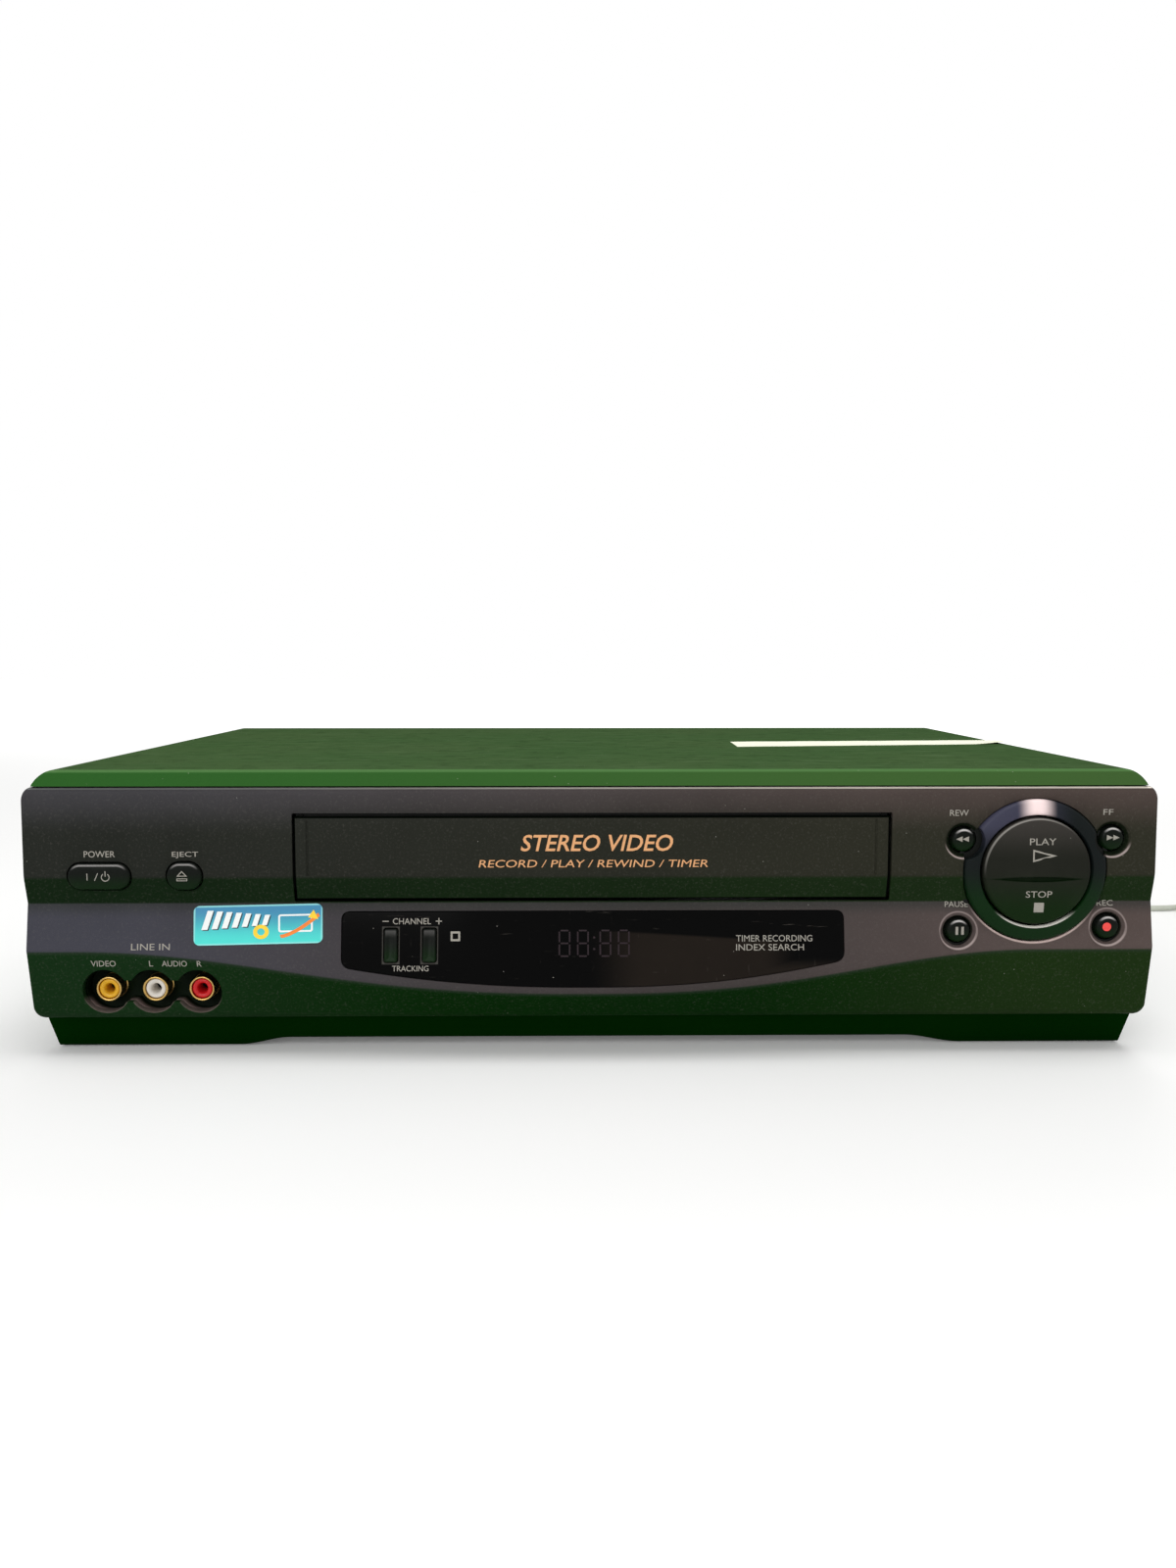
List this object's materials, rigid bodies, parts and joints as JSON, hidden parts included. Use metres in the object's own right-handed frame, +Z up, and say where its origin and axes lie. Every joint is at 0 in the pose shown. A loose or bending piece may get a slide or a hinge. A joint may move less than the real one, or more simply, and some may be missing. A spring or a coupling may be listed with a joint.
{
  "type": "video cassette recorder",
  "caption": "Front-loading video cassette recorder with a hinged cassette door, wavy front panel, display window, ringed play and stop rocker, push keys, front jacks and a coiled mains lead.",
  "frame": {"origin": "under the middle of the recorder's box without its lead, on the surface that it stands on", "axes": "+X to the right as the front is looked at, +Y to the rear, +Z up"},
  "size_m": [0.5297, 0.2916, 0.094],
  "materials": {
    "bezel_plastic": "fine-grained moulded plastic, grey going to green",
    "door_plastic": "fine-grained moulded plastic",
    "cover_paint": "dark green-grey painted steel sheet with fine scratches",
    "base_plastic": "dark green moulded plastic",
    "key_plastic": "glossy dark keys",
    "ring_metal": "metallic lacquered ring",
    "smoked_window": "smoked glossy window",
    "black_plastic": "plain black plastic",
    "board_resin": "brown resin board",
    "sheet_steel": "zinc-plated steel sheet",
    "drum_aluminium": "turned aluminium",
    "jack_brass": "plated brass",
    "yellow_plastic": "yellow plastic",
    "white_plastic": "white plastic",
    "red_plastic": "red plastic",
    "foot_rubber": "black rubber",
    "lead_jacket": "pale soft plastic jacket"
  },
  "bodies": {
    "housing": {"front_bezel": "bezel_plastic", "display_window": "smoked_window", "control_ring": "ring_metal", "video_jack_shell": "jack_brass", "video_jack_insert": "yellow_plastic", "audio_left_jack_shell": "jack_brass", "audio_left_jack_insert": "white_plastic", "audio_right_jack_shell": "jack_brass", "audio_right_jack_insert": "red_plastic", "front_jack_block": "black_plastic", "display_module": "black_plastic", "front_board": "board_resin", "bottom_chassis": "base_plastic", "front_foot_left": "foot_rubber", "front_foot_right": "foot_rubber", "rear_foot_left": "foot_rubber", "rear_foot_right": "foot_rubber", "top_cover": "cover_paint", "rear_panel": "sheet_steel", "rf_modulator": "sheet_steel", "rear_jack_block": "black_plastic", "main_board": "board_resin", "power_supply": "board_resin", "deck_chassis": "sheet_steel", "head_drum_lower": "drum_aluminium", "erase_head": "sheet_steel", "audio_control_head": "sheet_steel", "loading_motor": "sheet_steel", "carriage_bracket_left": "sheet_steel", "carriage_bracket_right": "sheet_steel", "cord_strain_relief": "lead_jacket", "mains_lead": "lead_jacket", "mains_lead_coil": "lead_jacket", "mains_lead_end": "lead_jacket", "mains_plug": "lead_jacket", "cord_tie": "black_plastic"},
    "power_key": {"power_button": "key_plastic"},
    "eject_key": {"eject_button": "key_plastic"},
    "rewind_key": {"rewind_button": "key_plastic"},
    "fast_forward_key": {"fast_forward_button": "key_plastic"},
    "pause_key": {"pause_button": "key_plastic"},
    "record_key": {"record_button": "key_plastic"},
    "channel_down_key": {"channel_down_button": "key_plastic"},
    "channel_up_key": {"channel_up_button": "key_plastic"},
    "rocker": {"play_stop_rocker": "key_plastic"},
    "door": {"cassette_door": "door_plastic"},
    "slider": {"carriage_slider": "sheet_steel"},
    "basket": {"cassette_basket": "sheet_steel"},
    "upper_drum": {"head_drum_upper": "drum_aluminium"},
    "supply_reel": {"supply_reel_table": "white_plastic"},
    "takeup_reel": {"takeup_reel_table": "white_plastic"},
    "capstan": {"capstan_flywheel": "sheet_steel"},
    "pinch_arm": {"pinch_roller_arm": "sheet_steel"},
    "pinch_tyre": {"pinch_roller": "foot_rubber"},
    "supply_guide": {"supply_tape_guide": "jack_brass"},
    "takeup_guide": {"takeup_tape_guide": "jack_brass"},
    "cam": {"cam_gear": "white_plastic"},
    "tension": {"tension_arm": "sheet_steel"},
    "idler": {"reel_idler": "white_plastic"}
  },
  "joints": [
    {"name": "power_press", "type": "slide", "parent": "housing", "child": "power_key", "axis": [0, 1, 0], "range_m": [0, 0.0008], "stiffness_N_per_m": 300, "springref_m": -0.001},
    {"name": "eject_press", "type": "slide", "parent": "housing", "child": "eject_key", "axis": [0, 1, 0], "range_m": [0, 0.0008], "stiffness_N_per_m": 300, "springref_m": -0.001},
    {"name": "rewind_press", "type": "slide", "parent": "housing", "child": "rewind_key", "axis": [0, 1, 0], "range_m": [0, 0.0008], "stiffness_N_per_m": 300, "springref_m": -0.001},
    {"name": "fast_forward_press", "type": "slide", "parent": "housing", "child": "fast_forward_key", "axis": [0, 1, 0], "range_m": [0, 0.0008], "stiffness_N_per_m": 300, "springref_m": -0.001},
    {"name": "pause_press", "type": "slide", "parent": "housing", "child": "pause_key", "axis": [0, 1, 0], "range_m": [0, 0.0008], "stiffness_N_per_m": 300, "springref_m": -0.001},
    {"name": "record_press", "type": "slide", "parent": "housing", "child": "record_key", "axis": [0, 1, 0], "range_m": [0, 0.0008], "stiffness_N_per_m": 300, "springref_m": -0.001},
    {"name": "channel_down_press", "type": "slide", "parent": "housing", "child": "channel_down_key", "axis": [0, 1, 0], "range_m": [0, 0.0008], "stiffness_N_per_m": 300, "springref_m": -0.001},
    {"name": "channel_up_press", "type": "slide", "parent": "housing", "child": "channel_up_key", "axis": [0, 1, 0], "range_m": [0, 0.0008], "stiffness_N_per_m": 300, "springref_m": -0.001},
    {"name": "play_stop_rock", "type": "hinge", "parent": "housing", "child": "rocker", "pos_m": [0.1416, -0.10348, 0.0619], "axis": [1, 0, 0], "range_deg": [-3, 3], "stiffness_Nm_per_rad": 0.08},
    {"name": "door_swing", "type": "hinge", "parent": "housing", "child": "door", "pos_m": [0, -0.10983, 0.082], "axis": [1, 0, 0], "range_deg": [0, 95], "stiffness_Nm_per_rad": 0.003, "springref_deg": -20.05},
    {"name": "carriage_in", "type": "slide", "parent": "housing", "child": "slider", "axis": [0, 1, 0], "range_m": [0, 0.055]},
    {"name": "basket_down", "type": "slide", "parent": "slider", "child": "basket", "axis": [0, 0, -1], "range_m": [0, 0.018]},
    {"name": "drum_spin", "type": "hinge", "parent": "housing", "child": "upper_drum", "pos_m": [0, 0.07337, 0.027], "axis": [0, 0.104, 0.9946], "continuous": true},
    {"name": "supply_reel_spin", "type": "hinge", "parent": "housing", "child": "supply_reel", "pos_m": [-0.046, -0.02763, 0.027], "axis": [0, 0, 1], "continuous": true},
    {"name": "takeup_reel_spin", "type": "hinge", "parent": "housing", "child": "takeup_reel", "pos_m": [0.046, -0.02763, 0.027], "axis": [0, 0, 1], "continuous": true},
    {"name": "capstan_spin", "type": "hinge", "parent": "housing", "child": "capstan", "pos_m": [0.058, 0.04437, 0.027], "axis": [0, 0, 1], "continuous": true},
    {"name": "pinch_arm_swing", "type": "hinge", "parent": "housing", "child": "pinch_arm", "pos_m": [0.086, 0.04637, 0.029], "axis": [0, 0, 1], "range_deg": [-24.5, 0]},
    {"name": "pinch_roller_spin", "type": "hinge", "parent": "pinch_arm", "child": "pinch_tyre", "pos_m": [0.06835, 0.02909, 0.034], "axis": [0, 0, 1], "continuous": true},
    {"name": "cam_turn", "type": "hinge", "parent": "housing", "child": "cam", "pos_m": [-0.0585, 0.08537, 0.028], "axis": [0, 0, 1], "range_deg": [0, 300]},
    {"name": "supply_guide_run", "type": "slide", "parent": "housing", "child": "supply_guide", "axis": [-0.2364, 0.9717, 0], "range_m": [0, 0.03808]},
    {"name": "takeup_guide_run", "type": "slide", "parent": "housing", "child": "takeup_guide", "axis": [0.2364, 0.9717, 0], "range_m": [0, 0.03808]},
    {"name": "tension_arm_swing", "type": "hinge", "parent": "housing", "child": "tension", "pos_m": [-0.084, 0.04437, 0.028], "axis": [0, 0, 1], "range_deg": [-8, 8], "stiffness_Nm_per_rad": 0.01},
    {"name": "idler_swing", "type": "hinge", "parent": "housing", "child": "idler", "pos_m": [0, 0.01237, 0.028], "axis": [0, 0, 1], "range_deg": [-24.5, 24.5]}
  ],
  "couplings": [
    {"joint": "takeup_guide_run", "follows": "supply_guide_run", "ratio": 1},
    {"joint": "cam_turn", "follows": "supply_guide_run", "rad_per_m": 137.49}
  ]
}
